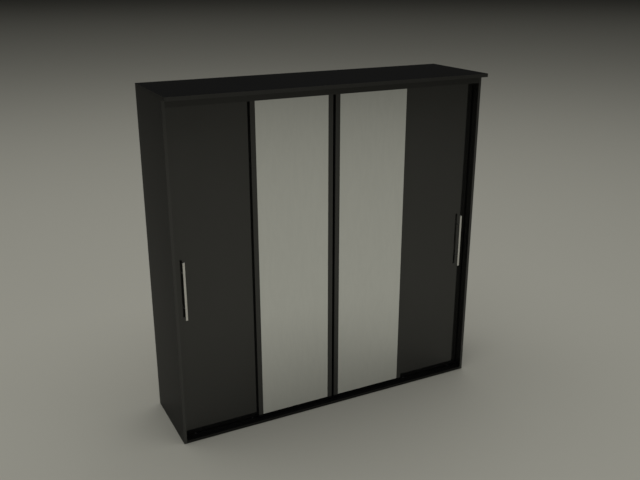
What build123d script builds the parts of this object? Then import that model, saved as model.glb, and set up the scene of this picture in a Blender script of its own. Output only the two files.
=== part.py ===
from build123d import *
import os

# Sliding door wardrobe, millimetres. +Z up, front towards -Y, width along X.
# The origin is on the floor, under the middle of the whole outline.

# Carcass
width = 2100.0
height = 2136.0
carcass_depth = 535.0
top_overhang = 62.0
side_thickness = 18.0
top_thickness = 22.0
base_thickness = 18.0
shelf_thickness = 16.0
back_thickness = 3.0
glide_height = 2.0
fascia_thickness = 18.0
fascia_height = 44.0
back_rebate = 8.0

# Doors
door_width = 530.0
door_bottom = 26.0
door_top = 2082.0
door_thickness = 16.0
mirror_door_recess = 33.0
dark_door_recess = 54.0
dark_door_side_gap = 7.0
meeting_gap = 17.0
dark_door_travel = 280.0
mirror_door_travel = 140.0

# Mirror door make-up
stile_width = 31.0
stile_wall = 1.6
stile_lip = 1.2
stile_rebate = 8.0
glass_thickness = 4.0
backing_thickness = 10.0
seal_clearance = 1.0
seal_width = 6.0
edge_seal_depth = 12.0
edge_seal_setback = 3.0

# Bar handle
handle_length = 364.0
handle_width = 14.0
handle_thickness = 8.0
handle_projection = 30.0
handle_centre_height = 994.0
handle_corner_radius = 2.0
handle_edge_distance = 48.0
post_spacing = 224.0
post_radius = 5.0
screw_radius = 2.0
screw_hole_radius = 2.2
screw_grip = 10.0
screw_head_radius = 4.0
screw_head_height = 2.4

# Bottom rollers
roller_radius = 10.0
roller_width = 5.0
roller_chamfer = 0.5
axle_radius = 2.0
axle_clearance = 0.05
roller_inset = 60.0
carrier_size = (36.0, 9.4, 20.0)
carrier_clearance = 0.4
roller_slot = (24.0, 6.0, 17.5)
pocket_size = (37.0, 11.0, 21.5)
rail_clearance = 0.3

# Tracks
track_length = 2060.0
track_plate = 1.5
rib_height = 3.0
rib_thickness = 1.2
rib_clearance = 0.8
channel_width = 10.0
channel_wall = 1.6
channel_depth = 24.0
track_screw_count = 6
track_screw_inset = 70.0

# Top guides and stops
guide_block = (40.0, 9.0, 5.0)
guide_radius = 4.5
guide_height = 16.0
guide_inset = 60.0
stop_size = (12.0, 9.4, 16.0)
stop_gap = 0.5
stop_top_gap = 2.0

# Inside
partition_setback = 84.0
shelf_setback = 4.0
shelf_side_clearance = 0.5
hat_shelf_height = 1760.0
centre_shelf_heights = (760.0, 1260.0)
pin_radius = 2.5
pin_clearance = 0.05
pin_depth = 8.0
pin_reach = 8.0
pin_inset = 40.0
rail_drop = 60.0
rail_size = (15.0, 30.0)
rail_wall = 1.2
socket_plate = (3.0, 30.0, 56.0)
socket_collar = 10.0
socket_wall = 2.0
socket_clearance = 0.2

# Fittings
cam_radius = 7.5
cam_depth = 12.5
cam_drop = 34.0
cam_bolt_radius = 3.5
cam_bolt_reach = 11.0
cam_bolt_gap = 1.0
cam_clearance = 0.1
cam_slot = (2.0, 10.0, 3.0)
cam_setbacks = (60.0, 225.0, 390.0)
glide_radius = 8.0
glide_setback = 40.0
bracket_width = 25.0
bracket_leg = 40.0
bracket_thickness = 2.0
bracket_spacing = 1400.0
wall_hole_radius = 3.0
wall_hole_drop = 24.0
sheet_hole_radius = 4.0

# Every cut runs past the surface it opens by this much
over_cut = 1.0

# Worked-out places
front_tip = -(carcass_depth + top_overhang) / 2
carcass_front = front_tip + top_overhang
back = -front_tip
inner_x = width / 2 - side_thickness
top_underside = height - top_thickness
base_top = glide_height + base_thickness
inner_back = back - back_thickness
inner_front = carcass_front + partition_setback
bay_width = (2 * inner_x - 2 * side_thickness) / 3
partition_centre = bay_width / 2 + side_thickness / 2
mirror_front = carcass_front + mirror_door_recess
dark_front = carcass_front + dark_door_recess
glass_front = mirror_front + stile_lip
backing_front = glass_front + glass_thickness
backing_middle = backing_front + backing_thickness / 2
dark_middle = dark_front + door_thickness / 2
dark_roller_y = dark_front + door_thickness - pocket_size[1] / 2
rail_top = base_top + track_plate
axle_z = rail_top + rail_clearance + roller_radius
track_bottom = top_underside - channel_depth

# Left edge of each door at rest
door_left = {
    "dark_left": -inner_x + dark_door_side_gap,
    "mirror_left": -meeting_gap / 2 - door_width,
    "mirror_right": meeting_gap / 2,
    "dark_right": inner_x - dark_door_side_gap - door_width,
}

# Middle of each handle
handle_x = {
    "left": door_left["dark_left"] + handle_edge_distance,
    "right": door_left["dark_right"] + door_width - handle_edge_distance,
}


def block(x0, x1, y0, y1, z0, z1):
    """A box between two corners."""
    low = Align.MIN
    return Pos(x0, y0, z0) * Box(x1 - x0, y1 - y0, z1 - z0, align=(low, low, low))


def centred_block(x, y, z0, size):
    """A box of the given size standing on height z0, centred on x and y."""
    return Pos(x, y, z0) * Box(*size, align=(Align.CENTER, Align.CENTER, Align.MIN))


def rod_x(x0, x1, y, z, radius):
    """A cylinder along X."""
    return Pos((x0 + x1) / 2, y, z) * Rot(0, 90, 0) * Cylinder(radius, abs(x1 - x0))


def rod_y(x, y0, y1, z, radius):
    """A cylinder along Y."""
    return Pos(x, (y0 + y1) / 2, z) * Rot(90, 0, 0) * Cylinder(radius, abs(y1 - y0))


def rod_z(x, y, z0, z1, radius):
    """A cylinder along Z."""
    return Pos(x, y, (z0 + z1) / 2) * Cylinder(radius, abs(z1 - z0))


def spread(first, last, count):
    """Evenly spaced places, both ends included."""
    return [first + (last - first) * i / (count - 1) for i in range(count)]


# ---------------------------------------------------------------- carcass

# Shelves: name, low x, high x, underside height
bays = {
    "left": (-inner_x, -partition_centre - side_thickness / 2),
    "centre": (-partition_centre + side_thickness / 2, partition_centre - side_thickness / 2),
    "right": (partition_centre + side_thickness / 2, inner_x),
}
shelves = {f"hat_shelf_{bay}": (*bays[bay], hat_shelf_height) for bay in bays}
for number, level in enumerate(centre_shelf_heights, start=1):
    shelves[f"centre_shelf_{number}"] = (*bays["centre"], level)

pin_ys = (inner_front + pin_inset, inner_back - pin_inset)
cam_ys = [inner_front + setback for setback in cam_setbacks]
cam_z = top_underside - cam_drop
rail_y = (inner_front + inner_back) / 2
rail_z = hat_shelf_height - rail_drop
bracket_xs = (-bracket_spacing / 2, bracket_spacing / 2)
wall_hole_z = top_underside - wall_hole_drop


def pin_places():
    """Each shelf pin: wall face x, direction out of the wall, y, z of its axis."""
    places = []
    for low_x, high_x, underside in shelves.values():
        for y in pin_ys:
            z = underside - pin_radius - pin_clearance
            places.append((low_x, 1, y, z))
            places.append((high_x, -1, y, z))
    return places


def bore_upright(panel, low_x, high_x, cam_face, cam_direction):
    """Cut the pin holes, cam pockets and bolt bores of one upright board."""
    hole_radius = pin_radius + pin_clearance
    for face_x, out, y, z in pin_places():
        if face_x in (low_x, high_x):
            panel -= rod_x(face_x - out * pin_depth, face_x + out * over_cut, y, z, hole_radius)
    for y in cam_ys:
        into = cam_face - cam_direction * cam_depth
        panel -= rod_x(into, cam_face + cam_direction * over_cut, y, cam_z, cam_radius + cam_clearance)
        bolt_x = (low_x + high_x) / 2
        panel -= rod_z(bolt_x, y, cam_z, top_underside + over_cut, cam_bolt_radius + cam_clearance)
    return panel


def side_panel(side):
    """Full-height side, rebated at the rear inside edge for the back sheet."""
    outer = side * width / 2
    inner = side * inner_x
    low_x, high_x = min(outer, inner), max(outer, inner)
    panel = block(low_x, high_x, carcass_front, back, glide_height, top_underside)
    rebate_x = sorted((inner, inner + side * back_rebate))
    panel -= block(*rebate_x, inner_back, back, glide_height, top_underside)
    return bore_upright(panel, low_x, high_x, inner, -side)


def partition(side):
    """Upright board between two bays, behind the doors."""
    centre = side * partition_centre
    low_x = centre - side_thickness / 2
    high_x = centre + side_thickness / 2
    panel = block(low_x, high_x, inner_front, inner_back, base_top, top_underside)
    face = centre - side * side_thickness / 2
    return bore_upright(panel, low_x, high_x, face, -side)


def upright_centres():
    """Middle x of the four upright boards, with the side that each is on."""
    outer = width / 2 - side_thickness / 2
    return [(-outer, -1), (-partition_centre, -1), (partition_centre, 1), (outer, 1)]


def top_board():
    """Top, flush with the sides and the back, overhanging the front."""
    board = block(-width / 2, width / 2, front_tip, back, top_underside, height)
    for x, _ in upright_centres():
        for y in cam_ys:
            reach = top_underside + cam_bolt_reach + cam_clearance
            board -= rod_z(x, y, top_underside - over_cut, reach, cam_bolt_radius + cam_clearance)
    for x in track_screw_xs:
        hole_top = top_underside + screw_grip + over_cut
        board -= rod_z(x, top_screw_y, top_underside - over_cut, hole_top, screw_hole_radius)
    return board


def base_board():
    """Bottom board between the sides, carrying the bottom track."""
    board = block(-inner_x, inner_x, carcass_front, inner_back, glide_height, base_top)
    for x in track_screw_xs:
        hole_bottom = base_top - screw_grip - over_cut
        board -= rod_z(x, bottom_screw_y, hole_bottom, base_top + over_cut, screw_hole_radius)
    return board


def fascia_board():
    """Board under the top's front that hides the top track and the door tops."""
    y1 = carcass_front + fascia_thickness
    return block(-inner_x, inner_x, carcass_front, y1, top_underside - fascia_height, top_underside)


def back_sheet(low_x, high_x):
    """Thin rear sheet, with a hole wherever a wall screw passes."""
    sheet = block(low_x, high_x, inner_back, back, glide_height, top_underside)
    for x in bracket_xs:
        if low_x < x < high_x:
            sheet -= rod_y(x, inner_back - over_cut, back + over_cut, wall_hole_z, sheet_hole_radius)
    return sheet


def shelf(low_x, high_x, underside):
    """Loose shelf on four pins."""
    return block(
        low_x + shelf_side_clearance,
        high_x - shelf_side_clearance,
        inner_front + shelf_setback,
        inner_back,
        underside,
        underside + shelf_thickness,
    )


def shelf_pins():
    """Plain steel pins that carry the shelves."""
    return [
        rod_x(x - out * pin_depth, x + out * pin_reach, y, z, pin_radius)
        for x, out, y, z in pin_places()
    ]


def hanging_rail(low_x, high_x):
    """Oval tube between its two sockets."""
    x0 = low_x + socket_plate[0]
    x1 = high_x - socket_plate[0]
    outline = SlotOverall(rail_size[1], rail_size[0])
    bore = SlotOverall(rail_size[1] - 2 * rail_wall, rail_size[0] - 2 * rail_wall)
    return Pos(x0, rail_y, rail_z) * Rot(0, 90, 0) * extrude(outline - bore, x1 - x0)


def rail_socket(face_x, out):
    """Wall plate with an oval collar round the rail's end."""
    gap = 2 * socket_clearance
    outer = SlotOverall(rail_size[1] + gap + 2 * socket_wall, rail_size[0] + gap + 2 * socket_wall)
    bore = SlotOverall(rail_size[1] + gap, rail_size[0] + gap)
    plate = centred_block(0, 0, 0, (socket_plate[2], socket_plate[1], socket_plate[0]))
    collar = Pos(0, 0, socket_plate[0]) * extrude(outer - bore, socket_collar)
    return Pos(face_x, rail_y, rail_z) * Rot(0, 90 * out, 0) * (plate + collar)


def rail_sockets():
    """Both ends of the rails in the two outer bays."""
    pieces = []
    for bay in ("left", "right"):
        low_x, high_x = bays[bay]
        pieces += [rail_socket(low_x, 1), rail_socket(high_x, -1)]
    return pieces


def cam_locks():
    """Cam discs in the uprights, each with its bolt up into the top board."""
    pieces = []
    for x, side in upright_centres():
        face = x - side * side_thickness / 2
        for y in cam_ys:
            into = face + side * cam_depth
            disc = rod_x(face, into, y, cam_z, cam_radius)
            slot_start = face + side * cam_slot[2]
            disc -= Pos((face + slot_start) / 2, y, cam_z) * Box(cam_slot[2], cam_slot[0], cam_slot[1])
            bolt_bottom = cam_z + cam_radius + cam_bolt_gap
            pieces.append(disc)
            pieces.append(rod_z(x, y, bolt_bottom, top_underside + cam_bolt_reach, cam_bolt_radius))
    return pieces


def floor_glides():
    """Round nail-on glides under the sides and the bottom board."""
    under_side = width / 2 - side_thickness / 2
    under_base = spread(-partition_centre, partition_centre, 3)
    ys = (carcass_front + glide_setback, 0.0, back - glide_setback)
    places = [(x, y) for x in (-under_side, *under_base, under_side) for y in ys]
    return [rod_z(x, y, 0, glide_height, glide_radius) for x, y in places]


def wall_brackets():
    """Steel angles under the top board, holed for the wall screws."""
    pieces = []
    for x in bracket_xs:
        x0, x1 = x - bracket_width / 2, x + bracket_width / 2
        y0 = inner_back - bracket_leg
        leg = block(x0, x1, y0, inner_back, top_underside - bracket_thickness, top_underside)
        z0 = top_underside - bracket_leg
        upright = block(x0, x1, inner_back - bracket_thickness, inner_back, z0, top_underside)
        hole = rod_y(x, inner_back - bracket_leg, back, wall_hole_z, wall_hole_radius)
        pieces.append(leg + upright - hole)
    return pieces


# ----------------------------------------------------------------- tracks

track_screw_reach = track_length / 2 - track_screw_inset
track_screw_xs = spread(-track_screw_reach, track_screw_reach, track_screw_count)
bottom_screw_y = (backing_middle + dark_roller_y) / 2
top_screw_y = dark_middle


def bottom_track():
    """Floor rail: a plate with a pair of ribs beside each line of rollers."""
    half = track_length / 2
    rib_offset = roller_width / 2 + rib_clearance
    y0 = backing_middle - rib_offset - rib_thickness
    y1 = dark_roller_y + rib_offset + rib_thickness
    rail = block(-half, half, y0, y1, base_top, rail_top)
    for line in (backing_middle, dark_roller_y):
        for near in (line - rib_offset - rib_thickness, line + rib_offset):
            rail += block(-half, half, near, near + rib_thickness, rail_top, rail_top + rib_height)
    for x in track_screw_xs:
        rail -= rod_z(x, bottom_screw_y, base_top - over_cut, rail_top + over_cut, screw_hole_radius)
    return rail


def top_track():
    """Twin channel, open downwards, that holds the door tops in line."""
    half = track_length / 2
    side_reach = channel_width / 2 + channel_wall
    plate_bottom = top_underside - channel_wall
    y0 = backing_middle - side_reach
    y1 = dark_middle + side_reach
    track = block(-half, half, y0, y1, plate_bottom, top_underside)
    for line in (backing_middle, dark_middle):
        for near in (line - side_reach, line + channel_width / 2):
            track += block(-half, half, near, near + channel_wall, track_bottom, plate_bottom)
    for x in track_screw_xs:
        hole_bottom = plate_bottom - over_cut
        track -= rod_z(x, top_screw_y, hole_bottom, top_underside + over_cut, screw_hole_radius)
    return track


def track_screws():
    """Pan-head screws that hold both tracks."""
    pieces = []
    for x in track_screw_xs:
        low = rod_z(x, bottom_screw_y, base_top - screw_grip, rail_top, screw_radius)
        low += rod_z(x, bottom_screw_y, rail_top, rail_top + screw_head_height, screw_head_radius)
        plate_bottom = top_underside - channel_wall
        high = rod_z(x, top_screw_y, plate_bottom, top_underside + screw_grip, screw_radius)
        high += rod_z(x, top_screw_y, plate_bottom - screw_head_height, plate_bottom, screw_head_radius)
        pieces += [low, high]
    return pieces


def guide_xs(door):
    """Middle of each top guide of a door."""
    left = door_left[door]
    return (left + guide_inset, left + door_width - guide_inset)


def track_stops():
    """Blocks in the top channels that end each door's travel."""
    reach = guide_radius + stop_gap
    travel = {
        "dark_left": (0, dark_door_travel),
        "mirror_left": (mirror_door_travel, 0),
        "mirror_right": (0, mirror_door_travel),
        "dark_right": (dark_door_travel, 0),
    }
    z0 = top_underside - channel_wall - stop_top_gap - stop_size[2]
    pieces = []
    for door, (to_left, to_right) in travel.items():
        y = dark_middle if door.startswith("dark") else backing_middle
        first, last = guide_xs(door)
        left_stop = first - to_left - reach - stop_size[0] / 2
        right_stop = last + to_right + reach + stop_size[0] / 2
        for x in (left_stop, right_stop):
            pieces.append(centred_block(x, y, z0, stop_size))
    return pieces


# ------------------------------------------------------------------ doors


def roller_xs(door):
    """Middle of each bottom roller of a door."""
    left = door_left[door]
    return (left + roller_inset, left + door_width - roller_inset)


def cut_pockets(board, door, roller_y):
    """Cut the roller pockets, open below and behind, from a door board."""
    length, depth, pocket_height = pocket_size
    for x in roller_xs(door):
        size = (length, depth, pocket_height + over_cut)
        board -= centred_block(x, roller_y, door_bottom - over_cut, size)
    return board


def roller_carriers(door, roller_y):
    """Forked plastic blocks, each with a fixed axle for one roller."""
    pieces = []
    z0 = door_bottom + carrier_clearance
    for x in roller_xs(door):
        body = centred_block(x, roller_y, z0, carrier_size)
        body -= centred_block(x, roller_y, z0, roller_slot)
        half = carrier_size[1] / 2
        pieces.append(body + rod_y(x, roller_y - half, roller_y + half, axle_z, axle_radius))
    return pieces


def roller(x, y):
    """Nylon wheel with chamfered tread edges."""
    half = roller_width / 2
    wheel = rod_y(x, y - half, y + half, axle_z, roller_radius)
    wheel = chamfer(wheel.edges().filter_by(GeomType.CIRCLE), roller_chamfer)
    return wheel - rod_y(x, y - half, y + half, axle_z, axle_radius + axle_clearance)


def top_guides(door, y):
    """Guide blocks on the door's top edge with a round nub in the channel."""
    pieces = []
    for x in guide_xs(door):
        foot = centred_block(x, y, door_top, guide_block)
        nub_bottom = door_top + guide_block[2]
        pieces.append(foot + rod_z(x, y, nub_bottom, nub_bottom + guide_height, guide_radius))
    return pieces


def post_zs():
    """Heights of the two handle posts."""
    return (handle_centre_height - post_spacing / 2, handle_centre_height + post_spacing / 2)


def dark_door_panel(side):
    """Plain board door, drilled for its handle."""
    door = f"dark_{side}"
    x0 = door_left[door]
    y1 = dark_front + door_thickness
    panel = block(x0, x0 + door_width, dark_front, y1, door_bottom, door_top)
    for z in post_zs():
        panel -= rod_y(handle_x[side], dark_front - over_cut, y1 + over_cut, z, screw_hole_radius)
    return cut_pockets(panel, door, dark_roller_y)


def handle_bar(side):
    """Flat metal bar with softened edges."""
    y0 = dark_front - handle_projection
    z0 = handle_centre_height - handle_length / 2
    middle_y = y0 + handle_thickness / 2
    bar = centred_block(handle_x[side], middle_y, z0, (handle_width, handle_thickness, handle_length))
    return fillet(bar.edges(), handle_corner_radius)


def handle_posts(side):
    """Round stand-offs between the bar and the door, tapped for the screws."""
    bar_back = dark_front - handle_projection + handle_thickness
    pieces = []
    for z in post_zs():
        post = rod_y(handle_x[side], bar_back, dark_front, z, post_radius)
        bore_start = dark_front - screw_grip - over_cut
        pieces.append(post - rod_y(handle_x[side], bore_start, dark_front, z, screw_hole_radius))
    return pieces


def handle_screws(side):
    """Machine screws through the door into the posts."""
    y1 = dark_front + door_thickness
    pieces = []
    for z in post_zs():
        shank = rod_y(handle_x[side], dark_front - screw_grip, y1, z, screw_radius)
        head = rod_y(handle_x[side], y1, y1 + screw_head_height, z, screw_head_radius)
        pieces.append(shank + head)
    return pieces


def infill_span(side):
    """Low and high x of the backing board and mirror, held in the stiles' rebates."""
    x0 = door_left[f"mirror_{side}"]
    hidden = stile_width - stile_rebate
    return x0 + hidden, x0 + door_width - hidden


def mirror_backing(side):
    """Board behind the mirror, which carries the rollers and guides."""
    x0, x1 = infill_span(side)
    y1 = backing_front + backing_thickness
    board = block(x0, x1, backing_front, y1, door_bottom, door_top)
    return cut_pockets(board, f"mirror_{side}", backing_middle + (pocket_size[1] - backing_thickness) / 2)


def mirror_glass(side):
    """Silvered glass bonded to the backing board."""
    x0, x1 = infill_span(side)
    return block(x0, x1, glass_front, backing_front, door_bottom, door_top)


def stile(side, place):
    """Hollow edge profile with a rebate for the glass and its backing."""
    x0 = door_left[f"mirror_{side}"]
    on_left = (side == "left") == (place == "outer")
    outer_x = x0 if on_left else x0 + door_width
    inward = 1 if on_left else -1
    y0 = mirror_front
    y1 = mirror_front + door_thickness

    def span(a, b):
        return sorted((outer_x + inward * a, outer_x + inward * b))

    profile = block(*span(0, stile_width), y0, y1, door_bottom, door_top)
    chamber_end = stile_width - stile_rebate - stile_wall
    chamber_ys = (y0 + stile_wall, y1 - stile_wall)
    profile -= block(*span(stile_wall, chamber_end), *chamber_ys, door_bottom, door_top)
    rebate_ys = (glass_front, backing_front + backing_thickness)
    profile -= block(*span(stile_width - stile_rebate, stile_width), *rebate_ys, door_bottom, door_top)
    return profile


def brush_seals(side):
    """Pile strips: one behind the outer stile, one on the meeting edge."""
    x0 = door_left[f"mirror_{side}"]
    x1 = x0 + door_width
    back_y0 = mirror_front + door_thickness
    back_y1 = dark_front - seal_clearance
    edge_y0 = mirror_front + edge_seal_setback
    edge_y1 = edge_y0 + edge_seal_depth
    if side == "left":
        back_xs = (x0, x0 + seal_width)
        edge_xs = (x1, x1 + seal_width)
    else:
        back_xs = (x1 - seal_width, x1)
        edge_xs = (x0 - seal_width, x0)
    behind = block(*back_xs, back_y0, back_y1, door_bottom, door_top)
    meeting = block(*edge_xs, edge_y0, edge_y1, door_bottom, door_top)
    return [behind, meeting]


# ----------------------------------------------------------------- output


def carcass_parts():
    """Every piece that stands still."""
    outer_x = inner_x + back_rebate
    parts = {
        "side_panel_left": side_panel(-1),
        "side_panel_right": side_panel(1),
        "partition_left": partition(-1),
        "partition_right": partition(1),
        "top_board": top_board(),
        "base_board": base_board(),
        "fascia_board": fascia_board(),
        "back_sheet_left": back_sheet(-outer_x, -partition_centre),
        "back_sheet_centre": back_sheet(-partition_centre, partition_centre),
        "back_sheet_right": back_sheet(partition_centre, outer_x),
        "hanging_rail_left": hanging_rail(*bays["left"]),
        "hanging_rail_right": hanging_rail(*bays["right"]),
        "rail_sockets": rail_sockets(),
        "shelf_pins": shelf_pins(),
        "cam_locks": cam_locks(),
        "floor_glides": floor_glides(),
        "wall_brackets": wall_brackets(),
        "bottom_track": bottom_track(),
        "top_track": top_track(),
        "track_screws": track_screws(),
        "track_stops": track_stops(),
    }
    for name, place in shelves.items():
        parts[name] = shelf(*place)
    return parts


def door_parts():
    """Every piece of the four doors, with their rollers."""
    parts = {}
    for side in ("left", "right"):
        parts[f"dark_door_{side}"] = dark_door_panel(side)
        parts[f"handle_bar_{side}"] = handle_bar(side)
        parts[f"handle_posts_{side}"] = handle_posts(side)
        parts[f"handle_screws_{side}"] = handle_screws(side)
        parts[f"mirror_glass_{side}"] = mirror_glass(side)
        parts[f"mirror_backing_{side}"] = mirror_backing(side)
        parts[f"mirror_stile_outer_{side}"] = stile(side, "outer")
        parts[f"mirror_stile_inner_{side}"] = stile(side, "inner")
        parts[f"brush_seals_{side}"] = brush_seals(side)
        lines = {"dark": (dark_roller_y, dark_middle), "mirror": (backing_middle, backing_middle)}
        for kind, (roller_y, guide_y) in lines.items():
            door = f"{kind}_{side}"
            parts[f"roller_carriers_{door}"] = roller_carriers(door, roller_y)
            parts[f"top_guides_{door}"] = top_guides(door, guide_y)
            for end, x in zip("ab", roller_xs(door)):
                parts[f"roller_{door}_{end}"] = roller(x, roller_y)
    return parts


os.makedirs("parts", exist_ok=True)
for name, shape in {**carcass_parts(), **door_parts()}.items():
    solids = shape if isinstance(shape, list) else [shape]
    if len(solids) == 1:
        export_step(solids[0], f"parts/{name}.step")
    else:
        export_step(Compound(solids), f"parts/{name}.step")
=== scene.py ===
import math
import random

import bmesh
import bpy
from mathutils import Matrix, Vector


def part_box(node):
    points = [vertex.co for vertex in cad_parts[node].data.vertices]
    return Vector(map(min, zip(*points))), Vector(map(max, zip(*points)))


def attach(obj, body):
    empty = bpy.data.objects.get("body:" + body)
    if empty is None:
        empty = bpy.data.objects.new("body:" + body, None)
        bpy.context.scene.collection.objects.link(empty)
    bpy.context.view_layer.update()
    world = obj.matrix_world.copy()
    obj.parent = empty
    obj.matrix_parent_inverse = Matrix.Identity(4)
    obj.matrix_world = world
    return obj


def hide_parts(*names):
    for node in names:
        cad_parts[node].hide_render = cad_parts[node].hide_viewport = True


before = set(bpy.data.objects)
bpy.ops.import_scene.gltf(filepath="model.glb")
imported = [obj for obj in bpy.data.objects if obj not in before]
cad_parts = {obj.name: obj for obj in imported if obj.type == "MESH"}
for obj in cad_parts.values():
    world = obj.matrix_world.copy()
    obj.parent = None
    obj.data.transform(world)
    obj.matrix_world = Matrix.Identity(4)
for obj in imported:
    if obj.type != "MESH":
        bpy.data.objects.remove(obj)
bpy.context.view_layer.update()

SIDES = ("left", "right")
BAYS = ("left", "centre", "right")
MM = 0.001

# Camera: left of the front, looking a little down
CAMERA_PLACE = Vector((-2.1515, -4.2291, 2.7694))
CAMERA_AZIMUTH = math.radians(-27.04)
CAMERA_ELEVATION = math.radians(19.47)
CAMERA_LENS = 43.37

# Studio
FLOOR_HALF = 400.0
FLOOR_COLOUR = (0.62, 0.61, 0.527, 1)
SOFTBOXES = {
    # name: (side, place, radiance)
    "softbox": (16.0, (-1.0, -0.6, 14.0), 1.12),
    "ceiling": (60.0, (0.0, 3.0, 40.0), 0.27),
}
WORLD_COLOUR = (0.012, 0.012, 0.0115, 1)

# Edges of the boards and fittings
BOARD_BEVEL = 0.8 * MM
DOOR_BEVEL = 1.0 * MM
METAL_BEVEL = 0.3 * MM

# How far pins and tufts start below the surface that they stand on
SUNK = 0.2 * MM

# Points closer than this are one
WELD = 0.001 * MM

# Brush seals
SEAL_WIDTH = 6 * MM
SEAL_BACKING = 1 * MM
TUFT_PITCH = 1.6 * MM
TUFT_ROW = 3 * MM
TUFT_INSET = 1.8 * MM
TUFT_HALF = 1.1 * MM


# --------------------------------------------------------------- materials


# Black lacquer reflects as evenly from the side as from the front: a dark edge tint on a part-metallic
# shader gives that, and the rest of its weight is the black body under it.
LACQUER = {"Metallic": 0.83, "Specular Tint": (0.3, 0.3, 0.3, 1), "IOR": 1.4}


class Shader:
    """A material's node tree, with short calls for the nodes that these materials share."""

    def __init__(self, name):
        self.material = bpy.data.materials.new(name)
        self.material.use_nodes = True
        self.tree = self.material.node_tree
        self.bsdf = self.tree.nodes["Principled BSDF"]
        self.place = self.add("ShaderNodeTexCoord").outputs["Object"]

    def add(self, kind, **settings):
        node = self.tree.nodes.new(kind)
        for key, value in settings.items():
            setattr(node, key, value)
        return node

    def feed(self, source, target):
        self.tree.links.new(source, target)

    def set(self, **values):
        """Uniform values, straight on the shader's own sockets."""
        for key, value in values.items():
            self.bsdf.inputs[key.replace("_", " ")].default_value = value

    def stretched(self, stretch):
        """Object coordinates scaled along each axis."""
        node = self.add("ShaderNodeMapping")
        node.inputs["Scale"].default_value = stretch
        self.feed(self.place, node.inputs["Vector"])
        return node.outputs["Vector"]

    def noise(self, scale, detail=2.0, stretch=(1, 1, 1), distortion=0.0):
        node = self.add("ShaderNodeTexNoise")
        node.inputs["Scale"].default_value = scale
        node.inputs["Detail"].default_value = detail
        node.inputs["Distortion"].default_value = distortion
        self.feed(self.stretched(stretch), node.inputs["Vector"])
        return node.outputs["Fac"]

    def spread(self, value, low, high, start=0.0, end=1.0):
        """value, from start to end, mapped to low to high and clamped."""
        node = self.add("ShaderNodeMapRange")
        node.inputs["From Min"].default_value = start
        node.inputs["From Max"].default_value = end
        node.inputs["To Min"].default_value = low
        node.inputs["To Max"].default_value = high
        self.feed(value, node.inputs["Value"])
        return node.outputs["Result"]

    def maths(self, operation, first, second):
        node = self.add("ShaderNodeMath", operation=operation)
        for socket, value in zip(node.inputs, (first, second)):
            if isinstance(value, (int, float)):
                socket.default_value = value
            else:
                self.feed(value, socket)
        return node.outputs["Value"]

    def colours(self, factor, first, second):
        """Base colour mixed from first to second by a factor."""
        node = self.add("ShaderNodeMix", data_type="RGBA")
        node.inputs["A"].default_value = (*first, 1)
        node.inputs["B"].default_value = (*second, 1)
        self.feed(factor, node.inputs["Factor"])
        self.feed(node.outputs["Result"], self.bsdf.inputs["Base Color"])

    def roughness(self, value):
        self.feed(value, self.bsdf.inputs["Roughness"])

    def bump(self, height, strength, distance):
        node = self.add("ShaderNodeBump")
        node.inputs["Strength"].default_value = strength
        node.inputs["Distance"].default_value = distance
        self.feed(height, node.inputs["Height"])
        self.feed(node.outputs["Normal"], self.bsdf.inputs["Normal"])

    def near(self, point, reach):
        """1 at a point, falling to 0 at reach from it."""
        node = self.add("ShaderNodeVectorMath", operation="DISTANCE")
        node.inputs[1].default_value = point
        self.feed(self.place, node.inputs[0])
        return self.spread(node.outputs["Value"], 1.0, 0.0, 0.0, reach)


def laminate(name, dark, light, handled=None):
    """Black lacquered foil on chipboard: pearl embossing, faint mottling, soft smears where hands go."""
    shader = Shader(name)
    shader.set(**LACQUER)
    mottling = shader.noise(3, detail=3, stretch=(1, 1, 0.35))
    shader.colours(shader.spread(mottling, 0, 1, 0.3, 0.7), dark, light)
    cloud = shader.noise(2.5, detail=3, distortion=0.6)
    gloss = shader.spread(cloud, 0.09, 0.13, 0.3, 0.7)
    if handled:
        smear = shader.noise(70, detail=3, stretch=(1, 1, 0.5), distortion=1.5)
        touch = shader.maths("MULTIPLY", shader.near(handled, 0.24), smear)
        gloss = shader.maths("ADD", gloss, shader.maths("MULTIPLY", touch, 0.16))
    shader.roughness(gloss)
    pearl = shader.noise(850, detail=2)
    pores = shader.noise(160, detail=3, stretch=(4, 4, 0.25))
    shader.bump(shader.maths("ADD", pearl, pores), 0.06, 0.05 * MM)
    return shader.material


def edge_band(name, colour):
    """The slightly duller arris of a plastic-edged board, rubbed a little lighter."""
    shader = Shader(name)
    shader.set(**LACQUER)
    rubbed = shader.noise(38, detail=4)
    worn = tuple(channel * 1.5 for channel in colour)
    shader.colours(shader.spread(rubbed, 0, 1, 0.45, 0.75), colour, worn)
    shader.roughness(shader.spread(rubbed, 0.2, 0.32))
    return shader.material


def hardboard(name, dark, light):
    """Hardboard, painted or raw: fine fibres and a little open texture."""
    shader = Shader(name)
    shader.set(IOR=1.45)
    fibres = shader.noise(120, detail=6, distortion=2.0)
    shader.colours(shader.spread(fibres, 0, 1, 0.35, 0.65), dark, light)
    shader.roughness(shader.spread(fibres, 0.5, 0.66))
    shader.bump(fibres, 0.25, 0.08 * MM)
    return shader.material


def silvered(name):
    """Mirror: silver behind clear glass, with faint wiping marks."""
    shader = Shader(name)
    shader.set(Metallic=1.0)
    wiped = shader.noise(6, detail=5, stretch=(3, 1, 0.6), distortion=2.5)
    shader.colours(shader.spread(wiped, 0, 1, 0.4, 0.6), (0.925, 0.94, 0.925), (0.905, 0.92, 0.905))
    shader.roughness(shader.spread(wiped, 0.004, 0.022, 0.45, 0.75))
    return shader.material


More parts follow.
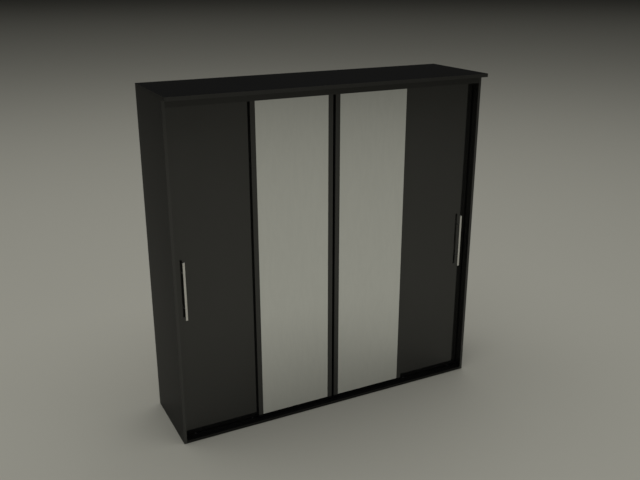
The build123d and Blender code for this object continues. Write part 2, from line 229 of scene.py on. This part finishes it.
def glass_edge(name):
    """Ground edge of float glass: dark bottle green."""
    shader = Shader(name)
    shader.set(IOR=1.52)
    ground = shader.noise(400, detail=3)
    shader.colours(ground, (0.012, 0.03, 0.024), (0.03, 0.06, 0.05))
    shader.roughness(shader.spread(ground, 0.2, 0.4))
    shader.bump(ground, 0.2, 0.03 * MM)
    return shader.material


def brushed(name, light, dark, low, high, stretch, anisotropy=0.0):
    """Metal with fine lines along one axis, and a few clouds of handling."""
    shader = Shader(name)
    shader.set(Metallic=1.0, Anisotropic=anisotropy)
    lines = shader.noise(900, detail=2, stretch=stretch)
    clouds = shader.noise(14, detail=4)
    shader.colours(shader.maths("MULTIPLY", lines, clouds), light, dark)
    blend = shader.maths("ADD", shader.maths("MULTIPLY", lines, 0.6), shader.maths("MULTIPLY", clouds, 0.4))
    shader.roughness(shader.spread(blend, low, high, 0.3, 0.7))
    shader.bump(lines, 0.18, 0.02 * MM)
    return shader.material


def coated(name, dark, light, low, high):
    """Satin black anodised or powder coated metal."""
    shader = Shader(name)
    shader.set(**LACQUER)
    grain = shader.noise(1100, detail=2)
    clouds = shader.noise(11, detail=4, stretch=(1, 1, 0.4))
    shader.colours(shader.spread(clouds, 0, 1, 0.3, 0.7), dark, light)
    shader.roughness(shader.spread(clouds, low, high, 0.3, 0.7))
    shader.bump(grain, 0.1, 0.02 * MM)
    return shader.material


def moulded(name, dark, light, low, high):
    """Moulded plastic with a fine spark-eroded grain."""
    shader = Shader(name)
    shader.set(IOR=1.46)
    grain = shader.noise(600, detail=3)
    clouds = shader.noise(30, detail=3)
    shader.colours(clouds, dark, light)
    shader.roughness(shader.spread(grain, low, high, 0.3, 0.7))
    shader.bump(grain, 0.25, 0.05 * MM)
    return shader.material


def pile(name):
    """Black brush pile."""
    shader = Shader(name)
    shader.set(Sheen_Weight=0.15, Sheen_Roughness=0.6, Specular_IOR_Level=0.1)
    tufts = shader.noise(700, detail=3)
    shader.colours(tufts, (0.003, 0.003, 0.003), (0.009, 0.009, 0.0085))
    shader.roughness(shader.spread(tufts, 0.8, 0.95))
    return shader.material


# Blacks, each with the lighter tone of its mottling
BLACK = (0.088, 0.088, 0.086)
BLACK_LIGHT = (0.093, 0.093, 0.091)
# Painted light: the side panels get a lighter black than the other boards, for the brighter light that falls
# on the carcass sides
LIT_PANEL = (0.096, 0.096, 0.094)
LIT_PANEL_MOTTLED = (0.102, 0.102, 0.100)
# Painted shade: the fascia gets a darker black than the other boards, for the shade under the top board's
# overhang
SHADED_FASCIA = (0.068, 0.068, 0.0665)
SHADED_FASCIA_MOTTLED = (0.074, 0.074, 0.0725)
# Painted shade: the base board gets a much darker black than the other boards, for the shade low in the
# niche and at the floor
SHADED_BASE = (0.036, 0.036, 0.035)
SHADED_BASE_MOTTLED = (0.041, 0.041, 0.040)

LAMINATE = laminate("black_laminate", BLACK, BLACK_LIGHT)
# The side panels' laminate, lightened as painted light
LIT_PANEL_LAMINATE = laminate("side_laminate_painted_light", LIT_PANEL, LIT_PANEL_MOTTLED)
# The fascia's laminate, darkened as painted shade
SHADED_FASCIA_LAMINATE = laminate("fascia_laminate_painted_shade", SHADED_FASCIA, SHADED_FASCIA_MOTTLED)
# The base board's laminate, darkened as painted shade
SHADED_BASE_LAMINATE = laminate("base_laminate_painted_shade", SHADED_BASE, SHADED_BASE_MOTTLED)
BAND = edge_band("black_edge_band", BLACK)
# The fascia's edge band, darkened as painted shade
SHADED_FASCIA_BAND = edge_band("fascia_edge_band_painted_shade", SHADED_FASCIA)
# The base board's edge band, darkened as painted shade
SHADED_BASE_BAND = edge_band("base_edge_band_painted_shade", SHADED_BASE)
PAINTED = hardboard("painted_hardboard", (0.014, 0.0135, 0.0125), (0.024, 0.023, 0.021))
RAW = hardboard("raw_hardboard", (0.105, 0.066, 0.038), (0.185, 0.125, 0.078))
MIRROR = silvered("silvered_glass")
GLASS_EDGE = glass_edge("ground_glass_edge")
PROFILE = coated("black_profile", BLACK, BLACK_LIGHT, 0.12, 0.18)
SATIN = brushed("satin_metal", (0.93, 0.92, 0.89), (0.82, 0.81, 0.78), 0.24, 0.34, (1, 1, 0.012), 0.3)
CHROME = brushed("polished_chrome", (0.80, 0.80, 0.81), (0.74, 0.74, 0.75), 0.06, 0.13, (0.02, 1, 1))
ZINC = brushed("zinc_plate", (0.66, 0.66, 0.67), (0.52, 0.52, 0.51), 0.3, 0.48, (1, 1, 1))
TRACK = brushed("dark_anodised", (0.075, 0.074, 0.072), (0.05, 0.05, 0.049), 0.32, 0.45, (0.01, 1, 1))
PLASTIC = moulded("black_plastic", (0.011, 0.011, 0.011), (0.017, 0.017, 0.0165), 0.42, 0.56)
NYLON = moulded("natural_nylon", (0.72, 0.71, 0.66), (0.78, 0.77, 0.73), 0.36, 0.5)
PILE = pile("brush_pile")


# ------------------------------------------------------------ mesh helpers


def finish_piece(name, mesh, body, nodes, materials, smooth=False):
    """Makes an object of a bmesh or mesh that rides on a body and stands for CAD nodes."""
    if isinstance(mesh, bmesh.types.BMesh):
        bmesh.ops.recalc_face_normals(mesh, faces=mesh.faces)
        made = bpy.data.meshes.new(name)
        mesh.to_mesh(made)
        mesh.free()
        mesh = made
    piece = bpy.data.objects.new(name, mesh)
    bpy.context.scene.collection.objects.link(piece)
    for material in materials:
        mesh.materials.append(material)
    if smooth:
        for polygon in mesh.polygons:
            polygon.use_smooth = True
        piece.modifiers.new("normals", "WEIGHTED_NORMAL").keep_sharp = True
    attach(piece, body)
    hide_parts(*nodes)
    return piece


def add_box(mesh, low, high, bevel=0.0, segments=2):
    """Adds a box with rounded edges to a bmesh."""
    low, high = Vector(low), Vector(high)
    place = Matrix.Translation((low + high) / 2) @ Matrix.Diagonal((*(high - low), 1))
    corners = bmesh.ops.create_cube(mesh, size=1, matrix=place)["verts"]
    edges = {edge for corner in corners for edge in corner.link_edges}
    if bevel:
        bmesh.ops.bevel(mesh, geom=list(edges), offset=bevel, segments=segments, profile=0.5, affect="EDGES")


def add_lathe(mesh, centre, profile, segments, material=0):
    """Adds a shape turned about Y: profile is (radius, distance along Y) from end to end."""
    place = Matrix.Translation(centre) @ Matrix.Rotation(math.radians(-90), 4, "X")
    rings = []
    for radius, along in profile:
        if radius == 0:
            rings.append([mesh.verts.new(place @ Vector((0, 0, along)))])
            continue
        ring = []
        for step in range(segments):
            angle = 2 * math.pi * step / segments
            point = Vector((radius * math.cos(angle), radius * math.sin(angle), along))
            ring.append(mesh.verts.new(place @ point))
        rings.append(ring)
    for first, second in zip(rings, rings[1:]):
        for step in range(segments):
            after = (step + 1) % segments
            corners = [first[step % len(first)], first[after % len(first)]]
            corners += [second[after % len(second)], second[step % len(second)]]
            unique = list(dict.fromkeys(corners))
            mesh.faces.new(unique).material_index = material


def slot_outline(length, width, steps=12):
    """Points round an upright slot: straight sides and half-round ends."""
    radius = width / 2
    straight = length / 2 - radius
    points = []
    for centre, start in ((straight, 0), (-straight, math.pi)):
        for step in range(steps + 1):
            angle = start + math.pi * step / steps
            points.append((radius * math.cos(angle), centre + radius * math.sin(angle)))
    return points


def add_sleeve(mesh, outer, inner, place, x0, x1):
    """Adds a tube along X between two outlines of (y, z) points about place (y, z)."""
    def ring(points, x):
        return [mesh.verts.new((x, place[0] + y, place[1] + z)) for y, z in points]

    loops = [ring(outer, x0), ring(outer, x1), ring(inner, x1), ring(inner, x0)]
    for first, second in zip(loops, loops[1:] + loops[:1]):
        for step in range(len(first)):
            after = (step + 1) % len(first)
            mesh.faces.new((first[step], first[after], second[after], second[step]))


def dress(node, material, bevel=0.0, arris=None):
    """Gives a CAD node its material, and softens its edges without touching its mesh."""
    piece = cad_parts[node]
    piece.data.materials.clear()
    piece.data.materials.append(material)
    if bevel:
        weld = piece.modifiers.new("weld", "WELD")
        weld.merge_threshold = 0.002 * MM
        flat = piece.modifiers.new("flat", "DECIMATE")
        flat.decimate_type = "DISSOLVE"
        flat.angle_limit = math.radians(0.5)
        round_off = piece.modifiers.new("bevel", "BEVEL")
        round_off.width = bevel
        round_off.segments = 2
        round_off.limit_method = "ANGLE"
        round_off.angle_limit = math.radians(50)
        if arris:
            piece.data.materials.append(arris)
            round_off.material = 1


# ----------------------------------------------------------------- carcass


def boards():
    """The carcass boards: laminate faces and rubbed band edges."""
    for side in SIDES:
        # The side panels take the lightened laminate: painted light on the carcass sides
        dress(f"side_panel_{side}", LIT_PANEL_LAMINATE, BOARD_BEVEL, BAND)
        dress(f"partition_{side}", LAMINATE, BOARD_BEVEL, BAND)
    # The fascia takes the darkened laminate: painted shade under the top board's overhang
    dress("fascia_board", SHADED_FASCIA_LAMINATE, BOARD_BEVEL, SHADED_FASCIA_BAND)
    # The base board takes the darkened laminate: painted shade low in the niche and at the floor
    dress("base_board", SHADED_BASE_LAMINATE, BOARD_BEVEL, SHADED_BASE_BAND)
    for name in ("top_board", "centre_shelf_1", "centre_shelf_2"):
        dress(name, LAMINATE, BOARD_BEVEL, BAND)
    for bay in BAYS:
        dress(f"hat_shelf_{bay}", LAMINATE, BOARD_BEVEL, BAND)


def back_sheets():
    """Hardboard sheets, painted inside and raw behind, pinned to the carcass along every edge."""
    pin_radius, pin_dome, pin_inset, pin_pitch = 2.4 * MM, 0.45 * MM, 8 * MM, 150 * MM
    for bay in BAYS:
        node = f"back_sheet_{bay}"
        low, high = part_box(node)
        rear = high.y - pin_dome
        # A copy of the sheet with its wall-screw holes, thinned behind by the height of the pin heads
        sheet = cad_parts[node]
        mesh = bmesh.new()
        mesh.from_mesh(sheet.data)
        mesh.transform(sheet.matrix_world)
        bmesh.ops.remove_doubles(mesh, verts=mesh.verts, dist=WELD)
        for vertex in mesh.verts:
            vertex.co.y = min(vertex.co.y, rear)
        for face in mesh.faces:
            face.material_index = 0
        count_z = round((high.z - low.z - 2 * pin_inset) / pin_pitch)
        count_x = round((high.x - low.x - 2 * pin_inset) / pin_pitch)
        places = set()
        for step in range(count_z + 1):
            z = low.z + pin_inset + (high.z - low.z - 2 * pin_inset) * step / count_z
            places |= {(low.x + pin_inset, z), (high.x - pin_inset, z)}
        for step in range(1, count_x):
            x = low.x + pin_inset + (high.x - low.x - 2 * pin_inset) * step / count_x
            places |= {(x, low.z + pin_inset), (x, high.z - pin_inset)}
        dome = [(0, -SUNK), (pin_radius, -SUNK), (pin_radius, 0)]
        dome += [(pin_radius * 0.94, pin_dome * 0.5), (pin_radius * 0.6, pin_dome * 0.9), (0, pin_dome)]
        for x, z in sorted(places):
            add_lathe(mesh, (x, rear, z), dome, 12, 1)
        mesh.normal_update()
        for face in mesh.faces:
            # The sheet's own rear faces are raw; the pins' faces already have their material
            if face.normal.y > 0.9 and face.material_index == 0:
                face.material_index = 2
        finish_piece(f"{node}_pinned", mesh, "carcass", [node], [PAINTED, ZINC, RAW])


def hanging_rails():
    """Oval chrome tubes with moulded wall sockets."""
    wall, socket_wall, clearance, collar, plate_bevel = 1.2 * MM, 2 * MM, 0.2 * MM, 10 * MM, 1 * MM
    socket_mesh = bmesh.new()
    low_all, high_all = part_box("rail_sockets")
    for side in SIDES:
        low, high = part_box(f"hanging_rail_{side}")
        middle = ((low.y + high.y) / 2, (low.z + high.z) / 2)
        tall, wide = high.z - low.z, high.y - low.y

        def outline(margin):
            return slot_outline(tall + 2 * margin, wide + 2 * margin)

        mesh = bmesh.new()
        add_sleeve(mesh, outline(0), outline(-wall), middle, low.x, high.x)
        node = f"hanging_rail_{side}"
        finish_piece(f"{node}_tube", mesh, "carcass", [node], [CHROME], True)
        plate = -low_all.x - high.x if side == "right" else low.x - low_all.x
        for face, out in ((low.x - plate, 1), (high.x + plate, -1)):
            near, far = face + out * plate, face + out * (plate + collar)
            left, right = sorted((face, near))
            corners = (left, low_all.y, low_all.z), (right, high_all.y, high_all.z)
            add_box(socket_mesh, *corners, plate_bevel)
            ends = sorted((near, far))
            add_sleeve(socket_mesh, outline(clearance + socket_wall), outline(clearance), middle, *ends)
    sockets = ["rail_sockets"]
    finish_piece("rail_sockets_moulded", socket_mesh, "carcass", sockets, [ZINC], True)


def carcass_fittings():
    """Tracks, stops, brackets, pins, cams, screws and glides keep their CAD shape."""
    for name in ("top_track", "bottom_track"):
        dress(name, TRACK, 0.15 * MM)
    for name in ("shelf_pins", "cam_locks", "wall_brackets", "track_screws"):
        dress(name, ZINC, METAL_BEVEL)
    for name in ("track_stops", "floor_glides"):
        dress(name, PLASTIC, METAL_BEVEL)


# ------------------------------------------------------------------- doors


def dark_doors():
    """Plain outer doors, with faint smears round their handles."""
    for side in SIDES:
        low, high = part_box(f"handle_bar_{side}")
        board = laminate(f"door_laminate_{side}", BLACK, BLACK_LIGHT, (low + high) / 2)
        dress(f"dark_door_{side}", board, DOOR_BEVEL, BAND)
        dress(f"handle_screws_{side}", ZINC, METAL_BEVEL)


def handles():
    """Brushed bars with soft edges on turned posts."""
    bar_round, chamfer, neck = 2 * MM, 0.5 * MM, 0.8 * MM
    # The groove near each post's door end: how far each of its corners is from that end
    groove = (5 * MM, 4.5 * MM, 3.5 * MM, 3 * MM)
    for side in SIDES:
        body = f"dark_door_{side}_body"
        node = f"handle_bar_{side}"
        mesh = bmesh.new()
        add_box(mesh, *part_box(node), bar_round, 5)
        finish_piece(f"{node}_brushed", mesh, body, [node], [SATIN], True)

        node = f"handle_posts_{side}"
        low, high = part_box(node)
        radius, length = (high.x - low.x) / 2, high.y - low.y
        turned = [(0, 0), (radius - chamfer, 0), (radius, chamfer)]
        for depth, reach in zip((0, neck, neck, 0), groove):
            turned.append((radius - depth, length - reach))
        turned += [(radius, length), (0, length)]
        mesh = bmesh.new()
        for z in (low.z + radius, high.z - radius):
            add_lathe(mesh, ((low.x + high.x) / 2, low.y, z), turned, 40)
        finish_piece(f"{node}_turned", mesh, body, [node], [SATIN], True)


def mirror_doors():
    """Mirrors with ground edges in narrow black profiles, on their backing boards."""
    glass_bevel, backing_bevel, profile_bevel = 0.6 * MM, 0.4 * MM, 0.7 * MM
    looks = [MIRROR, GLASS_EDGE]
    for side in SIDES:
        node = f"mirror_glass_{side}"
        mesh = bmesh.new()
        add_box(mesh, *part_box(node), glass_bevel, 1)
        body = f"mirror_door_{side}_body"
        glass = finish_piece(f"{node}_silvered", mesh, body, [node], looks)
        for polygon in glass.data.polygons:
            polygon.material_index = 0 if polygon.normal.y < -0.99 else 1
        dress(f"mirror_backing_{side}", LAMINATE, backing_bevel, BAND)
        for place in ("outer", "inner"):
            dress(f"mirror_stile_{place}_{side}", PROFILE, profile_bevel)


def add_tuft(mesh, foot, tip, corners):
    """Adds a closed three-sided spike from the corners about its foot to its tip."""
    base = [mesh.verts.new(foot + Vector(corner)) for corner in corners]
    top = mesh.verts.new(tip)
    mesh.faces.new(base)
    for first, second in ((0, 1), (1, 2), (2, 0)):
        mesh.faces.new((base[first], base[second], top))


def tuft_heights(low, high):
    """Heights of the rows of tufts up a strip."""
    z = low + TUFT_PITCH
    while z < high - TUFT_PITCH:
        yield z
        z += TUFT_PITCH


def meeting_pile(mesh, side, low, high):
    """Pile that stands out of the inner stile's edge towards the other door."""
    stile_low, stile_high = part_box(f"mirror_stile_inner_{side}")
    out = 1 if side == "left" else -1
    edge = stile_high.x if side == "left" else stile_low.x
    front = stile_low.y + 3 * MM
    left, right = sorted((edge, edge + out * SEAL_BACKING))
    add_box(mesh, (left, front, low.z), (right, front + 2 * SEAL_WIDTH, high.z))
    corners = [(0, -TUFT_HALF, -TUFT_HALF / 2), (0, TUFT_HALF, -TUFT_HALF / 2), (0, 0, TUFT_HALF)]
    for z in tuft_heights(low.z, high.z):
        for row in (1, 2, 3):
            y = front + row * TUFT_ROW
            lean = random.uniform(-0.5, 0.5) * MM
            reach = SEAL_WIDTH - random.uniform(0.1, 0.9) * MM
            tip = Vector((edge + out * reach, y + lean, z + random.uniform(-0.4, 0.4) * MM))
            foot = Vector((edge + out * (SEAL_BACKING - SUNK), y, z))
            add_tuft(mesh, foot, tip, corners)


def rear_pile(mesh, side, low, high):
    """Pile behind the outer stile that reaches back towards the dark door."""
    stile_low, stile_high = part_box(f"mirror_stile_outer_{side}")
    left = stile_low.x if side == "left" else stile_high.x - SEAL_WIDTH
    right = left + SEAL_WIDTH
    rear = stile_high.y
    add_box(mesh, (left, rear, low.z), (right, rear + SEAL_BACKING, high.z))
    corners = [(-TUFT_HALF, 0, -TUFT_HALF / 2), (TUFT_HALF, 0, -TUFT_HALF / 2), (0, 0, TUFT_HALF)]
    for z in tuft_heights(low.z, high.z):
        for x in (left + TUFT_INSET, right - TUFT_INSET):
            reach = high.y - rear - random.uniform(0.1, 1.0) * MM
            tip = Vector((x + random.uniform(-0.5, 0.5) * MM, rear + reach, z))
            foot = Vector((x, rear + SEAL_BACKING - SUNK, z))
            add_tuft(mesh, foot, tip, corners)


def brush_seals():
    """Pile strips: a woven backing with leaning tufts."""
    for side in SIDES:
        random.seed(f"seal {side}")
        node = f"brush_seals_{side}"
        low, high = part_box(node)
        mesh = bmesh.new()
        meeting_pile(mesh, side, low, high)
        rear_pile(mesh, side, low, high)
        finish_piece(f"{node}_pile", mesh, f"mirror_door_{side}_body", [node], [PILE])


def roller_section(radius, wide):
    """A roller's closed section: bore, hub, dished web and rounded tread on each side."""
    bore, hub, dish = 2.05 * MM, 4.2 * MM, 0.7 * MM
    hub_slope, rim_foot, rim_head, tread_round = 0.5 * MM, 2 * MM, 1.4 * MM, 0.5 * MM
    half = [(bore, 0), (hub, 0), (hub + hub_slope, dish), (radius - rim_foot, dish)]
    half += [(radius - rim_head, 0), (radius - tread_round, 0), (radius, tread_round)]
    other = [(distance, wide - along) for distance, along in reversed(half)]
    return half + other + [half[0]]


def running_gear():
    """Rollers with rounded treads, their carriers and the top guides."""
    for kind in ("dark", "mirror"):
        for side in SIDES:
            dress(f"roller_carriers_{kind}_{side}", PLASTIC, METAL_BEVEL)
            dress(f"top_guides_{kind}_{side}", PLASTIC, METAL_BEVEL)
            for end in "ab":
                node = f"roller_{kind}_{side}_{end}"
                low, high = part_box(node)
                centre = ((low.x + high.x) / 2, low.y, (low.z + high.z) / 2)
                mesh = bmesh.new()
                add_lathe(mesh, centre, roller_section((high.z - low.z) / 2, high.y - low.y), 56)
                bmesh.ops.remove_doubles(mesh, verts=mesh.verts, dist=WELD)
                finish_piece(f"{node}_turned", mesh, f"{node}_body", [node], [NYLON], True)


# ------------------------------------------------------------------- stage


def studio():
    """Plain pale floor under a soft light and a wide dim one, with a dark surround."""
    mesh = bmesh.new()
    bmesh.ops.create_grid(mesh, x_segments=1, y_segments=1, size=FLOOR_HALF)
    data = bpy.data.meshes.new("floor")
    mesh.to_mesh(data)
    mesh.free()
    floor = bpy.data.objects.new("floor", data)
    bpy.context.scene.collection.objects.link(floor)
    pale = bpy.data.materials.new("pale_floor")
    pale.use_nodes = True
    paint = pale.node_tree.nodes["Principled BSDF"].inputs
    paint["Base Color"].default_value = FLOOR_COLOUR
    paint["Roughness"].default_value = 0.9
    paint["Specular IOR Level"].default_value = 0.0
    data.materials.append(pale)

    for name, (side, place, radiance) in SOFTBOXES.items():
        lamp = bpy.data.lights.new(name, "AREA")
        lamp.shape = "SQUARE"
        lamp.size = side
        lamp.energy = radiance * math.pi * side**2
        softbox = bpy.data.objects.new(name, lamp)
        softbox.location = place
        bpy.context.scene.collection.objects.link(softbox)

    world = bpy.data.worlds.new("surround")
    world.use_nodes = True
    world.node_tree.nodes["Background"].inputs["Color"].default_value = WORLD_COLOUR
    bpy.context.scene.world = world


def camera():
    lens = bpy.data.cameras.new("camera")
    lens.lens = CAMERA_LENS
    stand = bpy.data.objects.new("camera", lens)
    level = math.cos(CAMERA_ELEVATION)
    forward = Vector(
        (-math.sin(CAMERA_AZIMUTH) * level, math.cos(CAMERA_AZIMUTH) * level, -math.sin(CAMERA_ELEVATION))
    )
    stand.location = CAMERA_PLACE
    stand.rotation_euler = forward.to_track_quat("-Z", "Y").to_euler()
    bpy.context.scene.collection.objects.link(stand)
    bpy.context.scene.camera = stand


boards()
back_sheets()
hanging_rails()
carcass_fittings()
dark_doors()
handles()
mirror_doors()
brush_seals()
running_gear()
studio()
camera()
bpy.context.scene.view_settings.view_transform = "Standard"
bpy.context.scene.cycles.caustics_reflective = False
